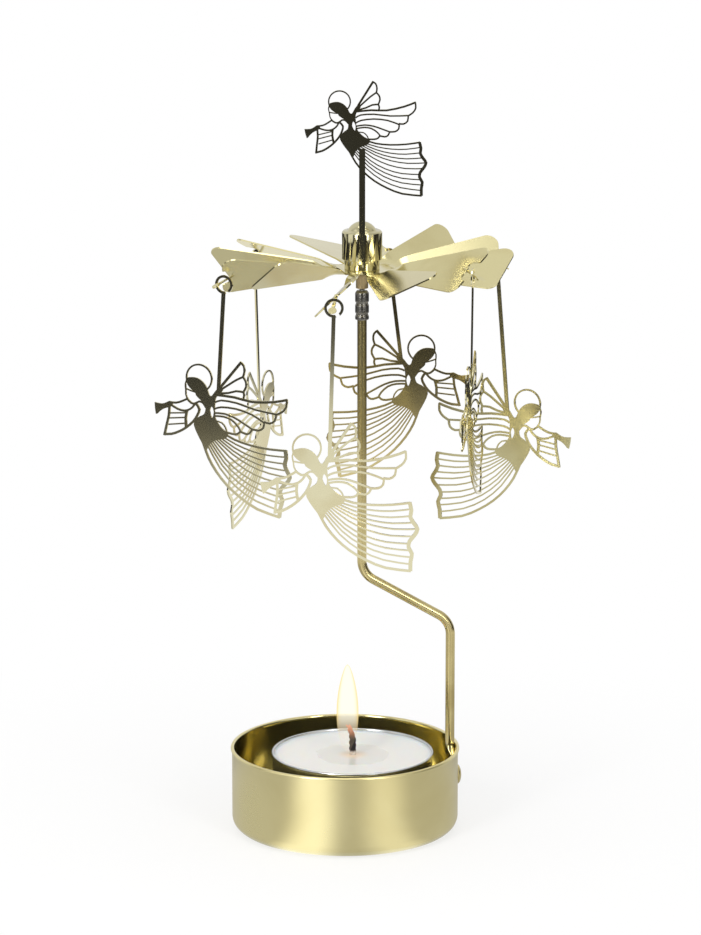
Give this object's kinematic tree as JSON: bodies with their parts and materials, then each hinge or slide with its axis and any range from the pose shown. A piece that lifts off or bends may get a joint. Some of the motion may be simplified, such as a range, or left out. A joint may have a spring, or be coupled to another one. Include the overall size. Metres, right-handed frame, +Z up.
{
  "type": "angel chime carousel",
  "caption": "Candle-driven brass carousel: trumpeting angels hang from a bladed rotor that spins on a pole over a tealight in a round cup.",
  "frame": {"origin": "centre of the cup's flat bottom, on the table", "axes": "+Z up; +X from the cup's centre towards the riveted foot of the pole; the pole's upper part and the rotor's axis stand 4 mm from the origin on +X; +Y follows by the right-hand rule"},
  "size_m": [0.0975, 0.0821, 0.179],
  "materials": {
    "satin_brass": "satin",
    "bright_brass": "polished",
    "dark_nickel": "satin",
    "old_brass": "satin",
    "foil_aluminium": "satin",
    "white_wax": "semi-gloss",
    "tin_plate": "satin",
    "burnt_wick": "matte"
  },
  "bodies": {
    "stand": {"cup": "satin_brass", "pole_wire": "satin_brass", "foot_rivet": "satin_brass", "pivot_ferrule": "dark_nickel", "pivot_pin": "dark_nickel"},
    "rotor": {"rotor": "bright_brass", "hub_cap": "bright_brass", "bearing_cup": "dark_nickel", "hub_sleeve": "old_brass", "top_angel": "bright_brass"},
    "tealight": {"tealight_cup": "foil_aluminium", "tealight_wax": "white_wax", "wick_clip": "tin_plate", "wick": "burnt_wick"},
    "pendant_1_body": {"pendant_1": "bright_brass"},
    "pendant_2_body": {"pendant_2": "bright_brass"},
    "pendant_3_body": {"pendant_3": "bright_brass"},
    "pendant_4_body": {"pendant_4": "bright_brass"},
    "pendant_5_body": {"pendant_5": "bright_brass"},
    "pendant_6_body": {"pendant_6": "bright_brass"}
  },
  "joints": [
    {"name": "rotor_spin", "type": "hinge", "parent": "stand", "child": "rotor", "pos_m": [0.004, 0, 0.1343], "axis": [0, 0, 1], "continuous": true},
    {"name": "tealight_lift", "type": "slide", "parent": "stand", "child": "tealight", "axis": [0, 0, 1], "range_m": [0, 0.022]},
    {"name": "swing_1", "type": "hinge", "parent": "rotor", "child": "pendant_1_body", "pos_m": [0.03664, 0.00754, 0.13282], "axis": [0.4848, 0.8746, 0], "range_deg": [-20, 20]},
    {"name": "swing_2", "type": "hinge", "parent": "rotor", "child": "pendant_2_body", "pos_m": [0.01379, 0.03201, 0.13114], "axis": [0.1045, 0.9945, 0], "range_deg": [-20, 15]},
    {"name": "swing_3", "type": "hinge", "parent": "rotor", "child": "pendant_3_body", "pos_m": [-0.01884, 0.0245, 0.13282], "axis": [-0.8746, 0.4848, 0], "range_deg": [-20, 20]},
    {"name": "swing_4", "type": "hinge", "parent": "rotor", "child": "pendant_4_body", "pos_m": [-0.02864, -0.00754, 0.13282], "axis": [-0.4848, -0.8746, 0], "range_deg": [-20, 20]},
    {"name": "swing_5", "type": "hinge", "parent": "rotor", "child": "pendant_5_body", "pos_m": [-0.00579, -0.03203, 0.13162], "axis": [-0.1045, -0.9945, 0], "range_deg": [-20, 20]},
    {"name": "swing_6", "type": "hinge", "parent": "rotor", "child": "pendant_6_body", "pos_m": [0.02666, -0.0243, 0.13638], "axis": [0.9613, -0.2756, 0], "range_deg": [-20, 20]}
  ]
}
